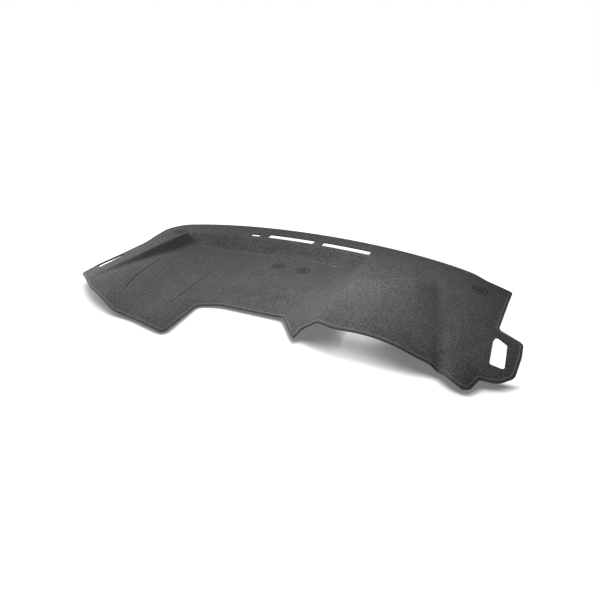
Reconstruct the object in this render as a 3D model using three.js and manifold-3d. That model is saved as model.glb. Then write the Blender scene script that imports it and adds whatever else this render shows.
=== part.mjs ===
// Moulded carpet cover for a car dashboard, right-hand drive, lying on a flat surface.
// Millimetres. +X runs to the driver's end, +Y to the windscreen, +Z up.
// Plan places are measured from the middle of the dashboard on the speaker line.
import * as THREE from 'three';
import { mergeVertices } from 'three/addons/utils/BufferGeometryUtils.js';
import Module from 'manifold-3d';

const wasm = await Module();
wasm.setup();

// Sheet and edge tape
const carpetThickness = 4;
const tapeThickness = 0.5;
const tapeWidth = 9;
const sewnGap = 0.3;

// Ends and edges of the mat in plan
const passengerEnd = -656;
const driverEnd = 704;
const trayFront = -525;
const noseFront = -417;
const notchFront = -337;
const notchSide = -208;
const hoodFront = -395;
const lobeFront = -435;
const tabNear = -380;
const tabFar = -208;

// Windscreen edge, an elliptical sweep
const screenEdgeY = 232;
const screenEdgeX = -18;
const screenEdgeHalf = 722;
const screenEdgeSweep = 300;
const screenEdgeSteps = 24;

// Ledge under the windscreen and the wall below it
const ledgeHeight = 67;
const ledgeY = 108;
const ledgeHalf = 620;
const ledgeSweep = 200;
const wallRunPassenger = 21;
const wallRunCentre = 36;
const wallFoot = 7;
const flangeWidth = 78;
const flangeFall = 0.11;
const ledgeEdgeRadius = 9;

// Slopes of the ledge towards the front and the two ends
const frontFallPassenger = 0.05;
const frontFallDriver = 0.08;
const frontFallStart = -30;
const driverEndFall = 0.15;
const driverEndFallStart = 535;
const passengerEndFall = 0.13;
const passengerEndFallStart = 590;

// Passenger tray
const trayRise = 0.042;
const trayRiseStart = 80;
const trayEndRise = 34;
const trayEndRiseX = -340;
const trayEndRiseRun = 240;
const trayDomeRise = 9;
const trayDomeX = -230;
const trayDomeNear = -262;
const trayWallX = -533;
const trayWallSplay = 0.155;
const trayWallSlope = 1.9;
const trayFillet = 14;

// Low raised panel around the centre speaker holes
const panelRise = 1.2;
const panelX = -48;
const panelHalfWidth = 98;
const panelHalfDepth = 128;
const panelY = 10;

// Instrument hood
const hoodHeight = 114;
const hoodY = -150;
const hoodCrestY = -170;
const hoodCrestShift = 90;
const hoodForwardFall = 0.115;
const hoodCrown = 0.0014;
const hoodCrownStart = 300;
const hoodBackFall = 0.7;
const hoodPassengerFall = 0.5;
const hoodPassengerX = 60;
const hoodSideFall = 0.95;
const hoodSideFoot = 50;
const hoodFillet = 22;

// Flank between the tray and the raised driver's side
const flankX = 92;
const flankDrift = 0.2;
const flankDriftStart = 300;
const flankFoot = 14;
const flankSlope = 0.66;
const flankHollow = 0.45;
const flankHeight = 76;

// Valley beside the hood
const valleyX = 455;
const valleyLean = 0.167;
const valleyDepth = 8;
const valleyEndDepth = 7;
const valleyHalfWidth = 16;

// Turned-down lip along the near edge
const lipWidth = 60;
const lipBlend = 9;

// Demister slots through the ledge: left end, right end, width
const slotSetback = 4;
const slotWidth = 34;
const slotShortWidth = 21;
const slotCornerRadius = 3;
const slots = [
  { from: -284, to: -248, width: slotShortWidth },
  { from: -214, to: -26, width: slotWidth },
  { from: 9, to: 199, width: slotWidth },
];

// Side demister openings at the two ends
const sideSlotLength = 104;
const sideSlotWidth = 18;
const sideSlotInset = 9;
const sideSlotY = -293;
const windowWidth = 37;
const windowLength = 100;
const windowX = 650;
const windowY = -284;
const windowCornerRadius = 6;

// Speaker holes, round groups of a centre hole and two rings
const speakerHole = 5;
const speakerRing = 11;
const speakerGroups = [
  { x: -567, y: 10 },
  { x: -106, y: -20 },
  { x: -7, y: -16 },
  { x: 580, y: -8 },
];

// Pressed line around the passenger airbag flap
const flapLineWidth = 2.4;
const flapLineDepth = 1.6;
const flapLeft = -452;
const flapRight = -289;
const flapNear = -398;
const flapFar = -163;
const flapSplay = 55;

// Mesh spacing
const columnStep = 36;
const trayRowStep = 38;
const ledgeRowStep = 28;
const gridMargin = 14;

// Outline corners: x, y, corner radius, and how far the lip turns down there
const nearCorners = [
  [driverEnd - 27, 76, 8, 0],
  [driverEnd - 61, tabFar + 26, 16, 0],
  [driverEnd + 2, tabFar, 16, 0],
  [driverEnd - 2, tabFar - 59, 200, 0],
  [driverEnd - 15, tabNear + 34, 40, 4],
  [driverEnd - 48, tabNear, 40, 8],
  [driverEnd - 90, tabNear - 5, 10, 12],
  [driverEnd - 112, lobeFront, 20, 20],
  [driverEnd - 156, lobeFront + 19, 60, 16],
  [driverEnd - 180, hoodFront + 6, 60, 10],
  [429, hoodFront, 200, 4],
  [252, hoodFront - 13, 90, 6],
  [176, hoodFront + 5, 40, 9],
  [155, noseFront + 37, 14, 13],
  [143, noseFront, 5, 20],
  [68, notchFront + 13, 14, 0],
  [-150, notchFront, 120, 3],
  [notchSide - 4, notchFront - 27, 22, 8],
  [notchSide + 4, trayFront - 6, 16, 12],
  [-335, trayFront + 15, 200, 10],
  [-421, trayFront + 19, 90, 11],
  [-553, -460, 60, 6],
  [passengerEnd - 13, -393, 14, 4],
  [passengerEnd - 4, -327, 150, 0],
  [passengerEnd + 14, -242, 90, 0],
  [passengerEnd + 31, -124, 160, 0],
  [passengerEnd + 4, 56, 50, 0],
];

const arcChord = 15;

const carpetColour = 0x5c5c5d;
const tapeColour = 0x636364;

// Small functions that shape the surface

function step(t) {
  const c = Math.min(Math.max(t, 0), 1);
  return c * c * (3 - 2 * c);
}

// Zero up to the start, a rounded beginning, then a straight rise
function ramp(distance, rounding) {
  if (distance <= 0) return 0;
  if (distance < rounding) return (distance * distance) / (2 * rounding);
  return distance - rounding / 2;
}

function filletMax(a, b, radius) {
  const overlap = Math.max(radius - Math.abs(a - b), 0) / radius;
  return Math.max(a, b) + (overlap * overlap * radius) / 4;
}

function filletMin(a, b, radius) {
  return -filletMax(-a, -b, radius);
}

function sweep(x, half, fall, top) {
  return top - fall * (1 - Math.sqrt(Math.max(1 - (x / half) ** 2, 0)));
}

function screenEdge(x) {
  return sweep(x - screenEdgeX, screenEdgeHalf, screenEdgeSweep, screenEdgeY);
}

function ledgeLine(x) {
  return sweep(x, ledgeHalf, ledgeSweep, ledgeY);
}

// Height of the mat's upper surface, one function for each form

function flankFootX(y) {
  return flankX + flankDrift * ramp(y + flankDriftStart, 60);
}

// Raised panel around the centre speaker holes
function panelShape(x, y) {
  const across = (x - panelX) / panelHalfWidth;
  const along = Math.min(y - panelY, 0) / panelHalfDepth;
  return step((1 - across ** 4 - along ** 4) / 0.35);
}

// Broad swelling of the tray beside the flank, bounded by shallow valleys
function domeShape(x, y) {
  const near = trayDomeNear + 0.17 * (x + 24);
  const driver = step((flankFootX(y) + 8 - x) / 70);
  return step((x - trayDomeX) / 120) * driver * step((y - near) / 60);
}

function trayHeight(x, y) {
  const rise = trayRise * ramp(-trayRiseStart - y, 60);
  const end = trayEndRise * step((trayEndRiseX - x) / trayEndRiseRun);
  return carpetThickness + rise + end + trayDomeRise * domeShape(x, y) + panelRise * panelShape(x, y);
}

function ledgeTop(x, y) {
  const driver = step((x + 200) / 500);
  const frontFall = frontFallPassenger + (frontFallDriver - frontFallPassenger) * driver;
  let z = ledgeHeight - frontFall * ramp(frontFallStart - y, 60);
  z -= flangeFall * ramp(y - screenEdge(x) + flangeWidth, 24);
  z -= driverEndFall * ramp(x - driverEndFallStart, 40);
  z -= passengerEndFall * ramp(-x - passengerEndFallStart, 30);
  return z;
}

function screenWall(x, y) {
  const run = wallRunPassenger + (wallRunCentre - wallRunPassenger) * step((x + 60) / 160);
  return ledgeHeight + ((y - ledgeLine(x)) * (ledgeHeight - wallFoot)) / run;
}

function endWallLine(y) {
  return trayWallX + trayWallSplay * y;
}

function endWall(x, y) {
  return ledgeTop(x, y) + (endWallLine(y) - x) * trayWallSlope;
}

// Starts gently at its foot and steepens towards the top
function flank(x, y) {
  const slope = flankSlope * (1 + step((y - hoodY) / 250));
  const climb = slope * (x - flankFootX(y));
  const steepening = Math.min(Math.max(climb / flankHeight, 0), 2);
  return flankFoot + climb * (1 - flankHollow + flankHollow * steepening);
}

function valleyLine(y) {
  return valleyX - valleyLean * y;
}

function hood(x, y) {
  const crest = hoodCrestY + hoodCrestShift * step((x - 260) / 180);
  const driverFall = hoodCrown * Math.max(x - hoodCrownStart, 0) ** 2;
  const crown = driverFall + hoodPassengerFall * Math.max(hoodPassengerX - x, 0);
  const top = hoodHeight + hoodForwardFall * (y - hoodY) - crown;
  const back = hoodHeight + hoodForwardFall * (crest - hoodY) - crown - hoodBackFall * (y - crest);
  const side = hoodSideFoot + hoodSideFall * (valleyLine(y) - x);
  return filletMin(filletMin(top, back, 16), side, hoodFillet);
}

// Groove between the hood and the driver's end, deeper where it starts and ends
function valleyShape(x, y) {
  const across = (x - valleyLine(y)) / valleyHalfWidth;
  const ends = step((-270 - y) / 90) + step((y + 150) / 60) * step((10 - y) / 60);
  return (valleyDepth + valleyEndDepth * ends) * Math.exp(-across * across) * step((40 - y) / 120);
}

function formHeight(x, y) {
  const raised = filletMax(ledgeTop(x, y) - valleyShape(x, y), hood(x, y), hoodFillet);
  const walls = Math.max(screenWall(x, y), endWall(x, y), flank(x, y));
  const fillet = trayFillet + 10 * step((-x - 420) / 150) + 20 * step((x - 20) / 100);
  return filletMin(raised, filletMax(trayHeight(x, y), walls, fillet), ledgeEdgeRadius);
}

// Outline of the mat, as corners with radii

function outlineCorners() {
  const corners = [];
  const first = passengerEnd + 32;
  const last = driverEnd - 104;
  for (let i = 0; i <= screenEdgeSteps; i++) {
    const x = first + ((last - first) * i) / screenEdgeSteps;
    corners.push([x, screenEdge(x), 0, 0]);
  }
  return corners.concat(nearCorners);
}

// Moves every side of the closed outline outwards and keeps its corners concentric
function offsetCorners(corners, distance) {
  return corners.map((corner, i) => {
    const before = corners[(i + corners.length - 1) % corners.length];
    const after = corners[(i + 1) % corners.length];
    const a = new THREE.Vector2(corner[0] - before[0], corner[1] - before[1]).normalize();
    const b = new THREE.Vector2(after[0] - corner[0], after[1] - corner[1]).normalize();
    const bend = 1 + a.dot(b);
    const x = corner[0] - ((a.y + b.y) * distance) / bend;
    const y = corner[1] + ((a.x + b.x) * distance) / bend;
    const outwards = a.cross(b) < 0 ? distance : -distance;
    const radius = corner[2] > 0 ? Math.max(corner[2] + outwards, 1) : 0;
    return [x, y, radius, corner[3]];
  });
}

function roundCorners(corners, chord) {
  const points = [];
  corners.forEach((corner, i) => {
    const before = corners[(i + corners.length - 1) % corners.length];
    const after = corners[(i + 1) % corners.length];
    const p = new THREE.Vector2(corner[0], corner[1]);
    const back = new THREE.Vector2(before[0], before[1]).sub(p);
    const ahead = new THREE.Vector2(after[0], after[1]).sub(p);
    const room = 0.49 * Math.min(back.length(), ahead.length());
    back.normalize();
    ahead.normalize();
    const angle = Math.acos(Math.min(Math.max(back.dot(ahead), -1), 1));
    if (corner[2] <= 0 || angle > 3.1) {
      points.push(p);
      return;
    }
    const trim = Math.min(corner[2] / Math.tan(angle / 2), room);
    const radius = trim * Math.tan(angle / 2);
    const centre = back.clone().add(ahead).normalize().multiplyScalar(radius / Math.sin(angle / 2));
    centre.add(p);
    const start = back.multiplyScalar(trim).add(p).sub(centre);
    const end = ahead.multiplyScalar(trim).add(p).sub(centre);
    let turn = Math.atan2(end.y, end.x) - Math.atan2(start.y, start.x);
    turn = Math.atan2(Math.sin(turn), Math.cos(turn));
    const pieces = Math.max(2, Math.ceil((Math.abs(turn) * radius) / chord));
    for (let k = 0; k <= pieces; k++) {
      const spoke = start.clone().rotateAround(new THREE.Vector2(), (turn * k) / pieces);
      points.push(spoke.add(centre));
    }
  });
  return points;
}

const corners = outlineCorners();
const outline = roundCorners(corners, arcChord);

function insideOutline(x, y) {
  let inside = false;
  outline.forEach((a, i) => {
    const b = outline[(i + 1) % outline.length];
    if (a.y > y !== b.y > y && x < ((b.x - a.x) * (y - a.y)) / (b.y - a.y) + a.x) inside = !inside;
  });
  return inside;
}

// How far the lip has turned down at a place, from the nearest side of the outline
function lipAt(x, y) {
  let nearest = Infinity;
  let drop = 0;
  corners.forEach((a, i) => {
    const b = corners[(i + 1) % corners.length];
    const dx = b[0] - a[0];
    const dy = b[1] - a[1];
    const t = Math.min(Math.max(((x - a[0]) * dx + (y - a[1]) * dy) / (dx * dx + dy * dy), 0), 1);
    const distance = Math.hypot(x - a[0] - t * dx, y - a[1] - t * dy);
    if (distance < nearest) {
      nearest = distance;
      drop = a[3] + (b[3] - a[3]) * t;
    }
  });
  if (nearest > lipWidth && insideOutline(x, y)) return 0;
  const reach = 1 - (insideOutline(x, y) ? nearest : -nearest) / lipWidth;
  if (reach <= 0) return 0;
  return drop * (reach < 1 ? reach * reach : 2 * reach - 1);
}

function lip(x, y) {
  const sum = lipAt(x + lipBlend, y) + lipAt(x - lipBlend, y) + lipAt(x, y + lipBlend) + lipAt(x, y - lipBlend);
  return sum / 4;
}

function matHeight(x, y) {
  return formHeight(x, y) - lip(x, y);
}

// Grid of surface points whose rows follow the ledge and whose columns follow the end wall

function spread(from, to, spacing) {
  const count = Math.max(1, Math.round((to - from) / spacing));
  return Array.from({ length: count + 1 }, (_, i) => from + ((to - from) * i) / count);
}

function gridColumns() {
  const wallRun = (ledgeHeight - wallFoot) / trayWallSlope;
  const wall = [trayWallX - 6, trayWallX, trayWallX + 0.45 * wallRun, trayWallX + 0.9 * wallRun];
  const left = spread(passengerEnd - 60, wall[0], columnStep).slice(0, -1);
  const right = spread(trayWallX + wallRun + 14, driverEnd + gridMargin, columnStep);
  return left.concat(wall, right);
}

function gridPoint(column, row) {
  const fade = 1 - step((column - trayWallX - 30) / 250);
  let x = column;
  let y = row.at(column);
  for (let i = 0; i < 3; i++) {
    x = column + (endWallLine(y) - trayWallX) * fade;
    y = row.at(x);
  }
  return [x, y];
}

function gridRows() {
  const nearest = trayFront - gridMargin;
  const footOf = (x) => ledgeLine(x) - wallRunPassenger - (wallRunCentre - wallRunPassenger) * step((x + 60) / 160);
  const rows = [];
  const trayRows = spread(0, 1, trayRowStep / (ledgeY - nearest));
  trayRows.forEach((t) => rows.push({ at: (x) => nearest + (footOf(x) - 6 - nearest) * t }));
  [0.12, 0.55, 0.95].forEach((t) => rows.push({ at: (x) => footOf(x) + (ledgeLine(x) - footOf(x)) * t }));
  const ledgeRows = spread(0, 1, ledgeRowStep / (screenEdgeY - ledgeY));
  ledgeRows.forEach((t) => rows.push({ at: (x) => {
    const start = ledgeLine(x) + 4;
    return start + (screenEdge(x) + gridMargin - start) * t;
  } }));
  return rows;
}

function surfaceNormal(x, y) {
  const reach = 3;
  const dx = (matHeight(x + reach, y) - matHeight(x - reach, y)) / (2 * reach);
  const dy = (matHeight(x, y + reach) - matHeight(x, y - reach)) / (2 * reach);
  return new THREE.Vector3(-dx, -dy, 1).normalize();
}

const columns = gridColumns();
const rows = gridRows();
const gridPoints = rows.map((row) => columns.map((column) => {
  const [x, y] = gridPoint(column, row);
  return { place: new THREE.Vector3(x, y, matHeight(x, y)), normal: surfaceNormal(x, y) };
}));

// Closed sheet between two distances from the mat's upper surface
function sheet(above, below) {
  const position = [];
  const index = [];
  const across = columns.length;
  const layer = across * rows.length;
  [above, below].forEach((distance) => gridPoints.flat().forEach(({ place, normal }) => {
    const p = place.clone().addScaledVector(normal, distance);
    position.push(p.x, p.y, p.z);
  }));
  const quad = (a, b, c, d) => index.push(a, b, c, a, c, d);
  for (let r = 0; r + 1 < rows.length; r++) {
    for (let c = 0; c + 1 < across; c++) {
      const a = r * across + c;
      quad(a, a + 1, a + across + 1, a + across);
      quad(layer + a, layer + a + across, layer + a + across + 1, layer + a + 1);
    }
  }
  for (let c = 0; c + 1 < across; c++) {
    const far = (rows.length - 1) * across + c;
    quad(layer + c, layer + c + 1, c + 1, c);
    quad(layer + far + 1, layer + far, far, far + 1);
  }
  for (let r = 0; r + 1 < rows.length; r++) {
    const left = r * across;
    const right = left + across - 1;
    quad(layer + left + across, layer + left, left, left + across);
    quad(layer + right, layer + right + across, right + across, right);
  }
  return solidOf(closedGeometry(position, index));
}

function closedGeometry(position, index) {
  const geometry = new THREE.BufferGeometry();
  geometry.setAttribute('position', new THREE.Float32BufferAttribute(position, 3));
  geometry.setIndex(index);
  return geometry;
}

function solidOf(geometry) {
  const plain = geometry.clone();
  plain.deleteAttribute('normal');
  plain.deleteAttribute('uv');
  const merged = mergeVertices(plain, 1e-4);
  return new wasm.Manifold(new wasm.Mesh({
    numProp: 3,
    vertProperties: new Float32Array(merged.attributes.position.array),
    triVerts: new Uint32Array(merged.index.array),
  }));
}

// Upright cutter over the whole height of the mat
function prism(points) {
  const height = hoodHeight + 120;
  const geometry = new THREE.ExtrudeGeometry(new THREE.Shape(points), { depth: height, bevelEnabled: false });
  geometry.translate(0, 0, -60);
  return solidOf(geometry);
}

function outlinePrism(distance) {
  return prism(roundCorners(offsetCorners(corners, distance), arcChord));
}

// Cutters for the openings

function demisterSlot({ from, to, width }) {
  const across = spread(from, to, 40);
  const near = across.map((x) => [x, ledgeLine(x) + slotSetback, slotCornerRadius]);
  const far = across.map((x) => [x, ledgeLine(x) + slotSetback + width, slotCornerRadius]).reverse();
  return prism(roundCorners(far.concat(near), 3));
}

function sideSlot() {
  const edge = passengerEnd + sideSlotInset;
  const half = sideSlotLength / 2;
  return prism(roundCorners([
    [edge - 3, sideSlotY - half, 4],
    [edge + 9, sideSlotY + half, 4],
    [edge + 9 + sideSlotWidth, sideSlotY + half, 4],
    [edge - 3 + sideSlotWidth, sideSlotY - half, 4],
  ], 3));
}

function sideWindow() {
  const left = windowX - windowWidth / 2;
  const right = windowX + windowWidth / 2;
  const near = windowY - windowLength / 2;
  const far = windowY + windowLength / 2;
  return prism(roundCorners([
    [left - 2, near, windowCornerRadius],
    [left + 1, far - 6, windowCornerRadius],
    [left + 9, far + 20, windowCornerRadius],
    [right, far, windowCornerRadius],
    [right - 3, near + 8, windowCornerRadius],
    [right - 9, near, windowCornerRadius],
  ], 4));
}

function speakerHoles() {
  const holes = [];
  speakerGroups.forEach(({ x, y }) => {
    [[0, 1], [1, 5], [2, 10]].forEach(([ring, count]) => {
      for (let i = 0; i < count; i++) {
        const turn = (2 * Math.PI * (i + ring / 4)) / count;
        const hole = new THREE.CylinderGeometry(speakerHole / 2, speakerHole / 2, 60, 6);
        hole.rotateX(Math.PI / 2);
        const px = x + ring * speakerRing * Math.cos(turn);
        const py = y + ring * speakerRing * Math.sin(turn);
        hole.translate(px, py, matHeight(px, py));
        holes.push(solidOf(hole));
      }
    });
  });
  return holes;
}

// Pressed line of the airbag flap: a shallow ribbon-shaped cutter along its path
function flapLine() {
  const bottom = (flapLeft + flapSplay + flapRight) / 2;
  const path = new THREE.CurvePath();
  const at = (x, y) => new THREE.Vector2(x, y);
  path.add(new THREE.QuadraticBezierCurve(
    at(flapLeft - flapSplay, flapFar - 25),
    at(flapLeft - flapSplay + 9, flapNear + 62),
    at(flapLeft, flapNear - 20)));
  path.add(new THREE.LineCurve(at(flapLeft, flapNear - 20), at(bottom, flapNear - 2)));
  path.add(new THREE.LineCurve(at(bottom, flapNear - 2), at(flapRight, flapNear + 6)));
  path.add(new THREE.LineCurve(at(flapRight, flapNear + 6), at(flapRight - 20, flapFar)));
  const stations = path.getSpacedPoints(30);
  const position = [];
  const index = [];
  stations.forEach((p, i) => {
    const before = stations[Math.max(i - 1, 0)];
    const after = stations[Math.min(i + 1, stations.length - 1)];
    const side = after.clone().sub(before).normalize().rotateAround(at(0, 0), Math.PI / 2);
    side.multiplyScalar(flapLineWidth / 2);
    const z = matHeight(p.x, p.y);
    position.push(p.x - side.x, p.y - side.y, z - flapLineDepth, p.x + side.x, p.y + side.y, z - flapLineDepth);
    position.push(p.x + side.x, p.y + side.y, z + 4, p.x - side.x, p.y - side.y, z + 4);
  });
  const quad = (a, b, c, d) => index.push(a, b, c, a, c, d);
  for (let i = 0; i + 1 < stations.length; i++) {
    for (let k = 0; k < 4; k++) {
      const a = 4 * i + k;
      const b = 4 * i + ((k + 1) % 4);
      quad(a, b, b + 4, a + 4);
    }
  }
  const last = 4 * (stations.length - 1);
  quad(3, 2, 1, 0);
  quad(last, last + 1, last + 2, last + 3);
  return solidOf(closedGeometry(position, index));
}

function carpetMat() {
  const cutters = slots.map(demisterSlot).concat([sideSlot(), sideWindow()], speakerHoles());
  let mat = sheet(0, -carpetThickness).intersect(outlinePrism(0));
  mat = mat.subtract(wasm.Manifold.union(cutters));
  return mat.subtract(flapLine());
}

// Tape folded around the whole edge: a U in section, held clear of the carpet by the sewn gap
function edgeBinding() {
  const outer = sewnGap + tapeThickness;
  const wrapped = sheet(outer, -carpetThickness - outer).intersect(outlinePrism(outer));
  const room = sheet(sewnGap, -carpetThickness - sewnGap).intersect(outlinePrism(sewnGap));
  return wrapped.subtract(outlinePrism(-tapeWidth)).subtract(room);
}

function meshOf(solid, name, colour, roughness) {
  const { vertProperties, triVerts } = solid.getMesh();
  const geometry = closedGeometry(vertProperties, Array.from(triVerts));
  geometry.computeVertexNormals();
  const material = new THREE.MeshStandardMaterial({ color: colour, roughness, metalness: 0 });
  const mesh = new THREE.Mesh(geometry, material);
  mesh.name = name;
  return mesh;
}

// The origin is under the middle of the mat, on the surface that it lies on
const dashMat = new THREE.Group();
dashMat.add(meshOf(carpetMat(), 'carpet_mat', carpetColour, 0.95));
dashMat.add(meshOf(edgeBinding(), 'edge_binding', tapeColour, 0.85));
const extent = new THREE.Box3().setFromObject(dashMat);
const middle = extent.getCenter(new THREE.Vector3());
dashMat.position.set(-middle.x, -middle.y, -extent.min.z);

export default dashMat;
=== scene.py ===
import math

import bpy
import numpy as np
from mathutils import Matrix, Vector
from mathutils.geometry import delaunay_2d_cdt


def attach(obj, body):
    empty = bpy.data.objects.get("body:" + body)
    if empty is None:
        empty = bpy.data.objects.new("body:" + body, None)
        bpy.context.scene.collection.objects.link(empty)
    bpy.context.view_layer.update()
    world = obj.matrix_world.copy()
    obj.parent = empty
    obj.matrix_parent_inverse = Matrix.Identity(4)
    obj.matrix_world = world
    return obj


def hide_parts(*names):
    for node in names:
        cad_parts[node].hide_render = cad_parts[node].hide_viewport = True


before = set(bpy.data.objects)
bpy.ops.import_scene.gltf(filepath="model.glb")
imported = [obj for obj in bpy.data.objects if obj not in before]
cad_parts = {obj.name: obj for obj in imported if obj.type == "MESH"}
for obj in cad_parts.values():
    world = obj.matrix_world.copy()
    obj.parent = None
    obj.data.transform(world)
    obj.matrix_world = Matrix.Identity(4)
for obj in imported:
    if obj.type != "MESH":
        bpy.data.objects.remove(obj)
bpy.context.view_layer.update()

# Plan sizes of the mat in millimetres, measured from the middle of the dashboard
THICK = 4.0
TAPE = 0.5
TAPE_WIDTH = 9.0
GAP = 0.3
PASSENGER_END = -656.0
DRIVER_END = 704.0
TRAY_FRONT = -525.0
NOSE_FRONT = -417.0
NOTCH_FRONT = -337.0
NOTCH_SIDE = -208.0
HOOD_FRONT = -395.0
LOBE_FRONT = -435.0
TAB_NEAR = -380.0
TAB_FAR = -208.0
LEDGE = 67.0
LIP_WIDTH = 60.0
LIP_BLEND = 9.0
SLOT_SETBACK = 4
SPEAKER_HOLE = 5.0
SPEAKER_RING = 11
SPEAKERS = [(-567, 10), (-106, -20), (-7, -16), (580, -8)]
FLAP_DEPTH = 1.5
FOOT_BEAD = 0.7
STITCH_PITCH = 5.0

# Mesh spacing in millimetres, and half the side of the floor in metres
SPACING = 5.0
EDGE_SPACING = 4
FLOOR_HALF = 12.0


# The moulded surface: the same formulas as the solid

def step(t):
    t = np.clip(t, 0, 1)
    return t * t * (3 - 2 * t)


def ramp(s, r):
    return np.where(s <= 0, 0.0, np.where(s < r, s * s / (2 * r), s - r / 2))


def fillet_max(a, b, k):
    h = np.maximum(k - np.abs(a - b), 0) / k
    return np.maximum(a, b) + h * h * k / 4


def fillet_min(a, b, k):
    return -fillet_max(-a, -b, k)


def sweep(x, half, fall, top):
    return top - fall * (1 - np.sqrt(np.maximum(1 - (x / half) ** 2, 0)))


def screen_edge(x):
    return sweep(x + 18, 722.0, 300.0, 232.0)


def ledge_line(x):
    return sweep(x, 620.0, 200.0, 108.0)


def flank_foot(y):
    return 92 + 0.2 * ramp(y + 300, 60)


def tray_height(x, y):
    across = (x + 48) / 98
    along = np.minimum(y - 10, 0) / 128
    panel = step((1 - across ** 4 - along ** 4) / 0.35)
    near = -262 + 0.17 * (x + 24)
    dome = step((x + 230) / 120) * step((flank_foot(y) + 8 - x) / 70) * step((y - near) / 60)
    z = THICK + 0.042 * ramp(-80 - y, 60) + 34 * step((-340 - x) / 240)
    return z + 9 * dome + 1.2 * panel


def ledge_top(x, y):
    fall = 0.05 + 0.03 * step((x + 200) / 500)
    z = LEDGE - fall * ramp(-30 - y, 60)
    z = z - 0.11 * ramp(y - screen_edge(x) + 78, 24)
    z = z - 0.15 * ramp(x - 535, 40)
    return z - 0.13 * ramp(-x - 590, 30)


def wall_run(x):
    return 21 + 15 * step((x + 60) / 160)


def screen_wall(x, y):
    return LEDGE + (y - ledge_line(x)) * 60 / wall_run(x)


def end_wall_line(y):
    return -533 + 0.155 * y


def end_wall(x, y):
    return ledge_top(x, y) + (end_wall_line(y) - x) * 1.9


def flank(x, y):
    slope = 0.66 * (1 + step((y + 150) / 250))
    climb = slope * (x - flank_foot(y))
    return 14 + climb * (0.55 + 0.45 * np.clip(climb / 76, 0, 2))


def valley_line(y):
    return 455 - 0.167 * y


def hood(x, y):
    crest = -170 + 90 * step((x - 260) / 180)
    crown = 0.0014 * np.maximum(x - 300, 0) ** 2 + 0.5 * np.maximum(60 - x, 0)
    top = 114 + 0.115 * (y + 150) - crown
    back = 114 + 0.115 * (crest + 150) - crown - 0.7 * (y - crest)
    side = 50 + 0.95 * (valley_line(y) - x)
    return fillet_min(fillet_min(top, back, 16), side, 22)


def form_height(x, y):
    across = (x - valley_line(y)) / 16
    ends = step((-270 - y) / 90) + step((y + 150) / 60) * step((10 - y) / 60)
    valley = (8 + 7 * ends) * np.exp(-across * across) * step((40 - y) / 120)
    raised = fillet_max(ledge_top(x, y) - valley, hood(x, y), 22)
    walls = np.maximum(np.maximum(screen_wall(x, y), end_wall(x, y)), flank(x, y))
    fillet = 14 + 10 * step((-x - 420) / 150) + 20 * step((x - 20) / 100)
    return fillet_min(raised, fillet_max(tray_height(x, y), walls, fillet), 9)


# Outline corners: x, y, corner radius, how far the lip turns down
NEAR_CORNERS = [
    (DRIVER_END - 27, 76, 8, 0),
    (DRIVER_END - 61, TAB_FAR + 26, 16, 0),
    (DRIVER_END + 2, TAB_FAR, 16, 0),
    (DRIVER_END - 2, TAB_FAR - 59, 200, 0),
    (DRIVER_END - 15, TAB_NEAR + 34, 40, 4),
    (DRIVER_END - 48, TAB_NEAR, 40, 8),
    (DRIVER_END - 90, TAB_NEAR - 5, 10, 12),
    (DRIVER_END - 112, LOBE_FRONT, 20, 20),
    (DRIVER_END - 156, LOBE_FRONT + 19, 60, 16),
    (DRIVER_END - 180, HOOD_FRONT + 6, 60, 10),
    (429, HOOD_FRONT, 200, 4),
    (252, HOOD_FRONT - 13, 90, 6),
    (176, HOOD_FRONT + 5, 40, 9),
    (155, NOSE_FRONT + 37, 14, 13),
    (143, NOSE_FRONT, 5, 20),
    (68, NOTCH_FRONT + 13, 14, 0),
    (-150, NOTCH_FRONT, 120, 3),
    (NOTCH_SIDE - 4, NOTCH_FRONT - 27, 22, 8),
    (NOTCH_SIDE + 4, TRAY_FRONT - 6, 16, 12),
    (-335, TRAY_FRONT + 15, 200, 10),
    (-421, TRAY_FRONT + 19, 90, 11),
    (-553, -460, 60, 6),
    (PASSENGER_END - 13, -393, 14, 4),
    (PASSENGER_END - 4, -327, 150, 0),
    (PASSENGER_END + 14, -242, 90, 0),
    (PASSENGER_END + 31, -124, 160, 0),
    (PASSENGER_END + 4, 56, 50, 0),
]
FAR_X = np.linspace(PASSENGER_END + 32, DRIVER_END - 104, 25)
CORNERS = [(float(x), float(screen_edge(x)), 0, 0) for x in FAR_X] + NEAR_CORNERS


def offset_corners(corners, distance):
    moved = []
    count = len(corners)
    for i, corner in enumerate(corners):
        a = np.subtract(corner[:2], corners[i - 1][:2])
        b = np.subtract(corners[(i + 1) % count][:2], corner[:2])
        a = a / np.hypot(*a)
        b = b / np.hypot(*b)
        bend = 1 + a @ b
        x = corner[0] - (a[1] + b[1]) * distance / bend
        y = corner[1] + (a[0] + b[0]) * distance / bend
        outwards = distance if a[0] * b[1] - a[1] * b[0] < 0 else -distance
        radius = max(corner[2] + outwards, 1) if corner[2] > 0 else 0
        moved.append((x, y, radius, corner[3]))
    return moved


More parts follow.
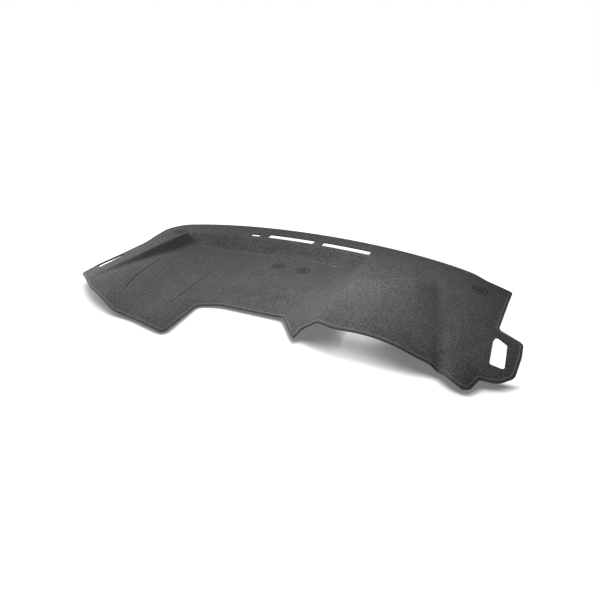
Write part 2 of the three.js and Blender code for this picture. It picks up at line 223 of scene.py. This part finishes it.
def corner_arc(corners, i):
    """Start angle, turn, radius and centre of the arc at a corner, or None where it is a plain point."""
    p = np.array(corners[i][:2], float)
    back = np.array(corners[i - 1][:2], float) - p
    ahead = np.array(corners[(i + 1) % len(corners)][:2], float) - p
    room = 0.49 * min(np.hypot(*back), np.hypot(*ahead))
    back /= np.hypot(*back)
    ahead /= np.hypot(*ahead)
    angle = math.acos(np.clip(back @ ahead, -1, 1))
    if corners[i][2] <= 0 or angle > 3.1:
        return None
    trim = min(corners[i][2] / math.tan(angle / 2), room)
    radius = trim * math.tan(angle / 2)
    middle = (back + ahead) / np.hypot(*(back + ahead))
    centre = p + middle * radius / math.sin(angle / 2)
    start = p + back * trim - centre
    end = p + ahead * trim - centre
    first = math.atan2(start[1], start[0])
    turn = math.atan2(end[1], end[0]) - first
    return first, math.atan2(math.sin(turn), math.cos(turn)), radius, centre


def arc_points(arc, pieces):
    first, turn, radius, centre = arc
    angles = first + turn * np.arange(pieces + 1) / pieces
    return [centre + radius * np.array([math.cos(a), math.sin(a)]) for a in angles]


def rounded(corners, chord):
    points = []
    for i in range(len(corners)):
        arc = corner_arc(corners, i)
        if arc is None:
            points.append(np.array(corners[i][:2], float))
        else:
            points += arc_points(arc, max(2, math.ceil(abs(arc[1]) * arc[2] / chord)))
    return np.array(points)


def matched_loops(offsets, chord):
    """Closed loops at several distances from the outline, all with the same number of points."""
    sets = [offset_corners(CORNERS, d) for d in offsets]
    middle = len(sets) // 2
    loops = [[] for _ in sets]
    for i in range(len(CORNERS)):
        arcs = [corner_arc(s, i) for s in sets]
        if any(a is None for a in arcs):
            for loop, s in zip(loops, sets):
                loop.append([np.array(s[i][:2], float)])
            continue
        size = max(abs(a[1]) * a[2] for a in arcs)
        pieces = max(3, math.ceil(size / chord))
        for loop, a in zip(loops, arcs):
            loop.append(arc_points(a, pieces))
    result = [[] for _ in sets]
    for i in range(len(CORNERS)):
        follow = (i + 1) % len(CORNERS)
        gap = np.hypot(*(loops[middle][follow][0] - loops[middle][i][-1]))
        extra = max(1, round(gap / chord))
        for out, loop in zip(result, loops):
            out += loop[i]
            a, b = loop[i][-1], loop[follow][0]
            out += [a + (b - a) * k / extra for k in range(1, extra)]
    return [np.array(r) for r in result]


def inside(px, py, loop):
    result = np.zeros(np.shape(px), bool)
    for i in range(len(loop)):
        ax, ay = loop[i]
        bx, by = loop[(i + 1) % len(loop)]
        if ay == by:
            continue
        crosses = (ay > py) != (by > py)
        result ^= crosses & (px < (bx - ax) * (py - ay) / (by - ay) + ax)
    return result


OUTLINE = rounded(CORNERS, 15)


def lip_at(x, y):
    nearest = np.full(np.shape(x), 1e9)
    drop = np.zeros(np.shape(x))
    for i, a in enumerate(CORNERS):
        b = CORNERS[(i + 1) % len(CORNERS)]
        dx, dy = b[0] - a[0], b[1] - a[1]
        t = np.clip(((x - a[0]) * dx + (y - a[1]) * dy) / (dx * dx + dy * dy), 0, 1)
        d = np.hypot(x - a[0] - t * dx, y - a[1] - t * dy)
        close = d < nearest
        nearest = np.where(close, d, nearest)
        drop = np.where(close, a[3] + (b[3] - a[3]) * t, drop)
    signed = np.where(inside(x, y, OUTLINE), nearest, -nearest)
    reach = np.maximum(1 - signed / LIP_WIDTH, 0)
    return drop * np.where(reach < 1, reach * reach, 2 * reach - 1)


def mat_height(x, y):
    x = np.asarray(x, float)
    y = np.asarray(y, float)
    s = LIP_BLEND
    lip = lip_at(x + s, y) + lip_at(x - s, y) + lip_at(x, y + s) + lip_at(x, y - s)
    return form_height(x, y) - lip / 4


def surface(xy):
    """Points on the upper surface and its normals."""
    x, y = xy[:, 0], xy[:, 1]
    s = 2.5
    dx = (mat_height(x + s, y) - mat_height(x - s, y)) / (2 * s)
    dy = (mat_height(x, y + s) - mat_height(x, y - s)) / (2 * s)
    normal = np.stack([-dx, -dy, np.ones_like(dx)], 1)
    normal /= np.linalg.norm(normal, axis=1)[:, None]
    return np.stack([x, y, mat_height(x, y)], 1), normal


# The solid's origin is under the middle of its box
OUTER = rounded(offset_corners(CORNERS, GAP + TAPE), 15)
SHIFT = np.array([*(OUTER.min(0) + OUTER.max(0)) / 2, 0.0])


def placed(points):
    return (np.asarray(points) - SHIFT) / 1000


def new_object(name, points, faces, smooth_angle=40.0):
    mesh = bpy.data.meshes.new(name)
    mesh.from_pydata([tuple(p) for p in placed(points)], [], [tuple(int(k) for k in f) for f in faces])
    mesh.validate()
    for polygon in mesh.polygons:
        polygon.use_smooth = True
    mesh.set_sharp_from_angle(angle=math.radians(smooth_angle))
    thing = bpy.data.objects.new(name, mesh)
    bpy.context.scene.collection.objects.link(thing)
    return thing


# Openings and pressed lines in plan

def resampled(loop, spacing, closed=True):
    loop = np.asarray(loop, float)
    ends = np.vstack([loop, loop[:1]]) if closed else loop
    points = []
    for a, b in zip(ends[:-1], ends[1:]):
        pieces = max(1, math.ceil(np.hypot(*(b - a)) / spacing))
        points += [a + (b - a) * k / pieces for k in range(pieces)]
    if not closed:
        points.append(ends[-1])
    return np.array(points)


def demister_slot(start, end, width):
    across = np.linspace(start, end, max(2, round((end - start) / 40) + 1))
    near = [(x, float(ledge_line(x)) + SLOT_SETBACK, 3, 0) for x in across]
    far = [(x, float(ledge_line(x)) + SLOT_SETBACK + width, 3, 0) for x in across[::-1]]
    return rounded(far + near, 2)


def side_slot():
    edge = PASSENGER_END + 9
    return rounded([(edge - 3, -345, 4, 0), (edge + 9, -241, 4, 0), (edge + 27, -241, 4, 0),
                    (edge + 15, -345, 4, 0)], 2)


def side_window():
    return rounded([(629.5, -334, 6, 0), (632.5, -240, 6, 0), (640.5, -214, 6, 0), (668.5, -234, 6, 0),
                    (665.5, -326, 6, 0), (659.5, -334, 6, 0)], 2)


def speaker_holes():
    holes = []
    radius = SPEAKER_HOLE / 2
    for cx, cy in SPEAKERS:
        for ring, count in [(0, 1), (1, 5), (2, 10)]:
            for i in range(count):
                a = 2 * math.pi * (i + ring / 4) / count
                px = cx + SPEAKER_RING * ring * math.cos(a)
                py = cy + SPEAKER_RING * ring * math.sin(a)
                turn = np.arange(10) * math.pi / 5
                holes.append(np.stack([px + radius * np.cos(turn), py + radius * np.sin(turn)], 1))
    return holes


def bezier(a, b, c, count):
    t = np.linspace(0, 1, count)[:, None]
    return (1 - t) ** 2 * np.array(a) + 2 * t * (1 - t) * np.array(b) + t * t * np.array(c)


def flap_path():
    left = bezier((-507, -188), (-498, -336), (-452, -418), 40)
    rest = np.array([(-452, -418), (-343, -400), (-289, -392), (-309, -163)], float)
    return resampled(np.vstack([left, rest[1:]]), SPACING, closed=False)


def side_lines(path, half):
    ahead = np.gradient(path, axis=0)
    ahead /= np.hypot(ahead[:, 0], ahead[:, 1])[:, None]
    across = np.stack([-ahead[:, 1], ahead[:, 0]], 1) * half
    return path + across, path - across


def build_mat():
    """Fine mesh of the carpet: top, underside, and the cut edges of its outline and openings."""
    outline = matched_loops([0.0], EDGE_SPACING)[0]
    slots = [demister_slot(-284, -248, 21), demister_slot(-214, -26, 34), demister_slot(9, 199, 34)]
    openings = [resampled(loop, EDGE_SPACING) for loop in slots + [side_slot(), side_window()]]
    holes = speaker_holes()
    loops = [outline] + openings + holes
    path = flap_path()
    edges_of_line = side_lines(path, 1.3)
    lines = [path, edges_of_line[0], edges_of_line[1]]
    foot_x = np.arange(-470, 96, SPACING)
    foot = np.stack([foot_x, ledge_line(foot_x) - wall_run(foot_x) - 5], 1)
    foot_sides = side_lines(foot, 1.6)
    lines += [foot, foot_sides[0], foot_sides[1]]

    xs = np.arange(OUTLINE[:, 0].min(), OUTLINE[:, 0].max(), SPACING)
    ys = np.arange(OUTLINE[:, 1].min(), OUTLINE[:, 1].max(), SPACING * 0.866)
    gx, gy = np.meshgrid(xs, ys)
    gx[1::2] += SPACING / 2
    grid = np.stack([gx.ravel(), gy.ravel()], 1)
    keep = inside(grid[:, 0], grid[:, 1], OUTLINE)
    for loop in openings:
        keep &= ~inside(grid[:, 0], grid[:, 1], loop)
    grid = grid[keep]
    crowd = np.vstack(loops + lines)
    cells = {}
    for point in crowd:
        cells.setdefault((int(point[0] // 4), int(point[1] // 4)), []).append(point)
    clear = []
    for point in grid:
        i, j = int(point[0] // 4), int(point[1] // 4)
        near = [q for a in (-1, 0, 1) for b in (-1, 0, 1) for q in cells.get((i + a, j + b), ())]
        if all(abs(q[0] - point[0]) + abs(q[1] - point[1]) > 3.2 for q in near):
            clear.append(point)
    grid = np.array(clear)

    points = list(grid)
    edges = []
    for loop in loops:
        first = len(points)
        points += list(loop)
        edges += [(first + k, first + (k + 1) % len(loop)) for k in range(len(loop))]
    for line in lines:
        first = len(points)
        points += list(line)
        edges += [(first + k, first + k + 1) for k in range(len(line) - 1)]
    result = delaunay_2d_cdt([Vector((float(p[0]), float(p[1]))) for p in points], edges, [], 0, 1e-5)
    xy = np.array([(v.x, v.y) for v in result[0]])
    triangles = np.array([f for f in result[2]])
    middle = xy[triangles].mean(1)
    keep = inside(middle[:, 0], middle[:, 1], outline)
    for loop in openings + holes:
        keep &= ~inside(middle[:, 0], middle[:, 1], loop)
    triangles = triangles[keep]
    a, b, c = xy[triangles[:, 0]], xy[triangles[:, 1]], xy[triangles[:, 2]]
    area = (b[:, 0] - a[:, 0]) * (c[:, 1] - a[:, 1]) - (b[:, 1] - a[:, 1]) * (c[:, 0] - a[:, 0])
    triangles[area < 0] = triangles[area < 0][:, ::-1]
    triangles = triangles[np.abs(area) > 1e-4]
    used = np.unique(triangles)
    order = np.full(len(xy), -1)
    order[used] = np.arange(len(used))
    triangles = order[triangles]
    xy = xy[used]

    top, normal = surface(xy)
    under = top - normal * THICK

    def on_line(line):
        marks = {(round(p[0], 2), round(p[1], 2)) for p in line}
        return np.array([(round(p[0], 2), round(p[1], 2)) in marks for p in xy])

    groove = on_line(path)
    top[groove] -= normal[groove] * FLAP_DEPTH
    bead = on_line(foot)
    top[bead] += normal[bead] * FOOT_BEAD

    count = len(xy)
    vertices = np.vstack([top, under])
    faces = [tuple(t) for t in triangles] + [tuple(t[::-1] + count) for t in triangles]
    directed = {}
    for t in triangles:
        for k in range(3):
            directed[(t[k], t[(k + 1) % 3])] = True
    rim = [(a, b) for (a, b) in directed if (b, a) not in directed]
    wall_start = len(faces)
    faces += [(b, a, a + count, b + count) for a, b in rim]
    mat = new_object("moulded_carpet", vertices, faces, 55.0)
    # The cut-edge walls take the second material: the felt's own darker tone, deepened with painted shade so that
    # the holes and slots read dark.
    for k in range(wall_start, len(mat.data.polygons)):
        mat.data.polygons[k].material_index = 1
    for k in range(len(triangles), wall_start):
        mat.data.polygons[k].material_index = 2
    # Painted highlight and shade along the top's lines: the wall-foot bead and the near part of the flap groove
    # are painted lighter, and the rest of the groove and the speaker-hole rims darker.
    painted_line_layer = mat.data.attributes.new("painted_line_shade_and_highlight", "FLOAT", "POINT")
    values = np.zeros(len(mat.data.vertices))
    values[:count][bead] = 1.0
    values[:count][groove] = -1.0
    values[:count][groove & (xy[:, 1] < -393)] = 0.8
    values[:count][on_line(np.vstack(holes))] = -0.6
    painted_line_layer.data.foreach_set("value", values)
    return mat


def build_binding():
    """Woven tape folded round the edge of the carpet."""
    lift = GAP + TAPE
    section = [(-TAPE_WIDTH, 0.1), (-TAPE_WIDTH + 0.3, 0.6), (-TAPE_WIDTH + 1.6, lift), (-TAPE_WIDTH + 3.2, 0.6),
               (-TAPE_WIDTH + 4.6, lift), (-2.0, lift), (-0.6, 0.6), (0.3, 0.1), (0.7, -0.8), (lift, -2.0),
               (0.7, -3.2), (0.3, -4.1), (-0.6, -4.6), (-2.0, -THICK - lift), (-TAPE_WIDTH + 0.3, -THICK - lift),
               (-TAPE_WIDTH, -THICK - 0.1)]
    loops = matched_loops([s for s, _ in section], EDGE_SPACING)
    count = len(loops[0])
    vertices = []
    for loop, (_, height) in zip(loops, section):
        point, normal = surface(loop)
        vertices.append(point + normal * height)
    vertices = np.vstack(vertices)
    faces = []
    rows = len(section)
    for r in range(rows):
        s = (r + 1) % rows
        for k in range(count):
            j = (k + 1) % count
            faces.append((r * count + k, s * count + k, s * count + j, r * count + j))
    return new_object("edge_tape", vertices, faces, 70.0)


def build_stitches():
    """Thread that holds the tape: short stitches along its inner edge."""
    path = matched_loops([-TAPE_WIDTH + 2.4], 2)[0]
    closed = np.vstack([path, path[:1]])
    length = np.concatenate([[0], np.cumsum(np.hypot(*np.diff(closed, axis=0).T))])
    total = length[-1]
    number = int(total // STITCH_PITCH)
    vertices = []
    faces = []
    samples = (np.arange(number)[:, None] * total / number + np.array([0, 1.0, 2.4, 3.4])[None, :]).ravel() % total
    xy = np.stack([np.interp(samples, length, closed[:, 0]), np.interp(samples, length, closed[:, 1])], 1)
    point, normal = surface(xy)
    heights = np.tile([0.3, 0.95, 0.95, 0.3], number)
    widths = np.tile([0.4, 0.75, 0.75, 0.4], number)
    point = (point + normal * heights[:, None]).reshape(number, 4, 3)
    normal = normal.reshape(number, 4, 3)
    widths = widths.reshape(number, 4)
    sides = 6
    for n in range(number):
        along = point[n, 3] - point[n, 0]
        along /= np.linalg.norm(along)
        first = len(vertices)
        for k in range(4):
            across = np.cross(normal[n, k], along)
            up = np.cross(along, across)
            for m in range(sides):
                a = 2 * math.pi * m / sides
                vertices.append(point[n, k] + widths[n, k] * (math.cos(a) * across + 0.8 * math.sin(a) * up))
        for k in range(3):
            for m in range(sides):
                p = first + k * sides + m
                q = first + k * sides + (m + 1) % sides
                faces.append((p, q, q + sides, p + sides))
        faces.append(tuple(first + m for m in range(sides))[::-1])
        faces.append(tuple(first + 3 * sides + m for m in range(sides)))
    return new_object("edge_stitches", vertices, faces, 60.0)


# Materials

def new_material(name):
    material = bpy.data.materials.new(name)
    material.use_nodes = True
    nodes = material.node_tree.nodes
    links = material.node_tree.links
    shader = nodes["Principled BSDF"]
    return material, nodes, links, shader


def noise(nodes, links, coordinates, scale, detail, roughness=0.6):
    texture = nodes.new("ShaderNodeTexNoise")
    texture.inputs["Scale"].default_value = scale
    texture.inputs["Detail"].default_value = detail
    texture.inputs["Roughness"].default_value = roughness
    links.new(coordinates, texture.inputs["Vector"])
    return texture.outputs["Fac"]


def ramp_colour(nodes, links, value, stops):
    colours = nodes.new("ShaderNodeValToRGB")
    while len(colours.color_ramp.elements) < len(stops):
        colours.color_ramp.elements.new(0.5)
    for element, (place, tone) in zip(colours.color_ramp.elements, stops):
        element.position = place
        element.color = (tone[0], tone[1], tone[2], 1)
    links.new(value, colours.inputs["Fac"])
    return colours.outputs["Color"]


def multiply(nodes, links, a, b):
    mix = nodes.new("ShaderNodeMix")
    mix.data_type = "RGBA"
    mix.blend_type = "MULTIPLY"
    mix.inputs["Factor"].default_value = 1.0
    links.new(a, mix.inputs[6])
    links.new(b, mix.inputs[7])
    return mix.outputs[2]


def bumped(nodes, links, shader, height, distance, strength, below=None):
    bump = nodes.new("ShaderNodeBump")
    bump.inputs["Strength"].default_value = strength
    bump.inputs["Distance"].default_value = distance
    links.new(height, bump.inputs["Height"])
    if below is not None:
        links.new(below, bump.inputs["Normal"])
    links.new(bump.outputs["Normal"], shader.inputs["Normal"])
    return bump.outputs["Normal"]


def grey(value, tint=0.01):
    return (value, value, value * (1 + tint))


def carpet_material(name, level, pile):
    material, nodes, links, shader = new_material(name)
    place = nodes.new("ShaderNodeTexCoord").outputs["Object"]
    fibres = noise(nodes, links, place, 520, 3, 0.75)
    flecks = noise(nodes, links, place, 230, 2, 0.6)
    clouds = noise(nodes, links, place, 16, 3, 0.5)
    base = ramp_colour(nodes, links, fibres, [(0.3, grey(level * 0.62)), (0.5, grey(level)), (0.72, grey(level * 1.55))])
    speckle = ramp_colour(nodes, links, flecks, [(0.38, grey(0.62)), (0.5, grey(0.95)), (0.62, grey(1.34))])
    worn = ramp_colour(nodes, links, clouds, [(0.35, grey(0.92)), (0.65, grey(1.06))])
    colour = multiply(nodes, links, multiply(nodes, links, base, speckle), worn)
    # On the pile, the colour is multiplied by painted highlight and shade along its lines: lighter on the bead and
    # the near edge of the flap groove, and darker in the groove and round the speaker holes.
    if pile:
        mask = nodes.new("ShaderNodeAttribute")
        mask.attribute_name = "painted_line_shade_and_highlight"
        spread = nodes.new("ShaderNodeMapRange")
        spread.inputs["From Min"].default_value = -1
        spread.inputs["From Max"].default_value = 1
        links.new(mask.outputs["Fac"], spread.inputs["Value"])
        painted_line_shade_and_highlight = ramp_colour(nodes, links, spread.outputs["Result"],
                              [(0.0, grey(0.25)), (0.5, grey(1.0)), (1.0, grey(2.1))])
        colour = multiply(nodes, links, colour, painted_line_shade_and_highlight)
    links.new(colour, shader.inputs["Base Color"])
    shader.inputs["Roughness"].default_value = 0.97
    shader.inputs["Specular IOR Level"].default_value = 0.12
    shader.inputs["Sheen Weight"].default_value = 0.10 if pile else 0.0
    shader.inputs["Sheen Roughness"].default_value = 0.6
    under = bumped(nodes, links, shader, flecks, 0.0012, 0.55)
    bumped(nodes, links, shader, fibres, 0.0008, 0.8, under)
    return material


def tape_material():
    material, nodes, links, shader = new_material("woven_tape")
    place = nodes.new("ShaderNodeTexCoord").outputs["Object"]
    threads = noise(nodes, links, place, 900, 2, 0.6)
    mottle = noise(nodes, links, place, 120, 2, 0.6)
    base = ramp_colour(nodes, links, threads, [(0.3, grey(0.075)), (0.7, grey(0.15))])
    tone = ramp_colour(nodes, links, mottle, [(0.35, grey(0.85)), (0.65, grey(1.12))])
    links.new(multiply(nodes, links, base, tone), shader.inputs["Base Color"])
    shader.inputs["Roughness"].default_value = 0.85
    shader.inputs["Specular IOR Level"].default_value = 0.25
    bumped(nodes, links, shader, threads, 0.0005, 0.7)
    return material


def thread_material():
    material, nodes, links, shader = new_material("sewing_thread")
    place = nodes.new("ShaderNodeTexCoord").outputs["Object"]
    twist = noise(nodes, links, place, 1500, 2, 0.6)
    links.new(ramp_colour(nodes, links, twist, [(0.3, grey(0.34)), (0.7, grey(0.5))]), shader.inputs["Base Color"])
    shader.inputs["Roughness"].default_value = 0.6
    bumped(nodes, links, shader, twist, 0.0002, 0.5)
    return material


def zone(nodes, links, value, low, high):
    """Rise of a value from 0 to 1 between two limits."""
    rise = nodes.new("ShaderNodeMapRange")
    rise.inputs["From Min"].default_value = low
    rise.inputs["From Max"].default_value = high
    links.new(value, rise.inputs["Value"])
    return rise.outputs["Result"]


def calculated(nodes, links, operation, a, b):
    maths = nodes.new("ShaderNodeMath")
    maths.operation = operation
    for socket, value in zip(maths.inputs, (a, b)):
        if isinstance(value, (int, float)):
            socket.default_value = value
        else:
            links.new(value, socket)
    return maths.outputs[0]


def floor_material():
    """White floor with a painted soft shadow: ambient occlusion darkens its colour and its glow along the near
    edge, and it is clear white elsewhere.
    """
    material, nodes, links, shader = new_material("white_floor")
    nodes.remove(shader)
    place = nodes.new("ShaderNodeSeparateXYZ")
    links.new(nodes.new("ShaderNodeNewGeometry").outputs["Position"], place.inputs[0])
    x, y = place.outputs["X"], place.outputs["Y"]
    # Zones where the painted shadow is taken away and the floor stays plain white: behind the mat, under the tab
    # and under the passenger end.
    behind = zone(nodes, links, y, 0.19, 0.22)
    under_tab = calculated(nodes, links, "MULTIPLY", zone(nodes, links, x, 0.590, 0.602),
                           zone(nodes, links, y, -0.215, -0.195))
    under_end = calculated(nodes, links, "MULTIPLY", zone(nodes, links, x, -0.60, -0.64),
                           zone(nodes, links, y, -0.25, -0.21))
    clear = calculated(nodes, links, "MAXIMUM", behind, calculated(nodes, links, "MAXIMUM", under_tab, under_end))
    # Painted shadow: the floor's colour and glow follow the cube of ambient occlusion near the mat, never below
    # 0.18.
    near = nodes.new("ShaderNodeAmbientOcclusion")
    near.inputs["Distance"].default_value = 0.1
    near.samples = 16
    shade = calculated(nodes, links, "POWER", near.outputs["AO"], 3.0)
    shade = calculated(nodes, links, "MAXIMUM", clear, calculated(nodes, links, "MAXIMUM", shade, 0.18))
    diffuse = nodes.new("ShaderNodeBsdfDiffuse")
    diffuse.inputs["Color"].default_value = (0.9, 0.9, 0.9, 1)
    glow = nodes.new("ShaderNodeEmission")
    seen = nodes.new("ShaderNodeLightPath").outputs["Is Camera Ray"]
    part = calculated(nodes, links, "MULTIPLY", seen, shade)
    links.new(part, glow.inputs["Strength"])
    dark = nodes.new("ShaderNodeMixShader")
    black = nodes.new("ShaderNodeBsdfDiffuse")
    black.inputs["Color"].default_value = (0.0, 0.0, 0.0, 1)
    links.new(shade, dark.inputs["Fac"])
    links.new(black.outputs[0], dark.inputs[1])
    links.new(diffuse.outputs[0], dark.inputs[2])
    total = nodes.new("ShaderNodeAddShader")
    links.new(dark.outputs[0], total.inputs[0])
    links.new(glow.outputs[0], total.inputs[1])
    links.new(total.outputs[0], nodes["Material Output"].inputs["Surface"])
    return material


# Pieces
mat = build_mat()
# The cut-edge material at 0.03 is darker than both pile and backing: partly the cut felt's own tone and partly
# painted shade in the holes and slots.
for material in (carpet_material("carpet_pile", 0.105, True), carpet_material("cut_edge_with_painted_shade", 0.03, False),
                 carpet_material("felt_back", 0.07, False)):
    mat.data.materials.append(material)
tape = build_binding()
tape.data.materials.append(tape_material())
stitches = build_stitches()
stitches.data.materials.append(thread_material())
for piece in (mat, tape, stitches):
    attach(piece, "root")
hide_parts("carpet_mat")
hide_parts("edge_binding")

# Floor
floor_mesh = bpy.data.meshes.new("floor")
floor_corners = [(a * FLOOR_HALF, b * FLOOR_HALF, 0) for a, b in ((-1, -1), (1, -1), (1, 1), (-1, 1))]
floor_mesh.from_pydata(floor_corners, [], [(0, 1, 2, 3)])
floor = bpy.data.objects.new("floor", floor_mesh)
floor.location.z = -0.0005
bpy.context.scene.collection.objects.link(floor)
floor.data.materials.append(floor_material())


# Light
def area_light(name, place, target, size, watts):
    data = bpy.data.lights.new(name, "AREA")
    data.shape = "DISK"
    data.size = size
    data.energy = watts
    lamp = bpy.data.objects.new(name, data)
    lamp.location = place
    lamp.rotation_euler = (Vector(target) - Vector(place)).to_track_quat("-Z", "Y").to_euler()
    bpy.context.scene.collection.objects.link(lamp)


area_light("key", (-1.05, -0.3, 0.5), (-0.1, 0.0, 0.0), 0.35, 6.8)
area_light("top", (0.16, -0.08, 0.6), (0.16, -0.08, 0.0), 0.3, 3.5)

world = bpy.data.worlds.new("studio")
bpy.context.scene.world = world
world.use_nodes = True
nodes = world.node_tree.nodes
links = world.node_tree.links
plain = nodes["Background"]
plain.inputs["Color"].default_value = (1, 1, 1, 1)
plain.inputs["Strength"].default_value = 0.07
white = nodes.new("ShaderNodeBackground")
white.inputs["Color"].default_value = (1, 1, 1, 1)
white.inputs["Strength"].default_value = 1.0
choice = nodes.new("ShaderNodeMixShader")
links.new(nodes.new("ShaderNodeLightPath").outputs["Is Camera Ray"], choice.inputs["Fac"])
links.new(plain.outputs[0], choice.inputs[1])
links.new(white.outputs[0], choice.inputs[2])
links.new(choice.outputs[0], nodes["World Output"].inputs["Surface"])

# Camera, solved from the photograph: place in millimetres of the plan, turn and tilt
turn = math.radians(24.64503)
tilt = math.radians(29.90935)
right = Vector((math.cos(turn), math.sin(turn), 0))
ahead = Vector((-math.sin(turn) * math.cos(tilt), math.cos(turn) * math.cos(tilt), -math.sin(tilt)))
above = right.cross(ahead)
lens = bpy.data.cameras.new("camera")
lens.sensor_width = 36
lens.lens = 36 * 412 / 600
lens.clip_end = 100
camera = bpy.data.objects.new("camera", lens)
spot = placed([541.686, -1236.901, 662.540])
axes = Matrix((right, above, -ahead)).transposed().to_4x4()
camera.matrix_world = Matrix.Translation(Vector(spot)) @ axes
bpy.context.scene.collection.objects.link(camera)
bpy.context.scene.camera = camera
bpy.context.scene.view_settings.view_transform = "Standard"
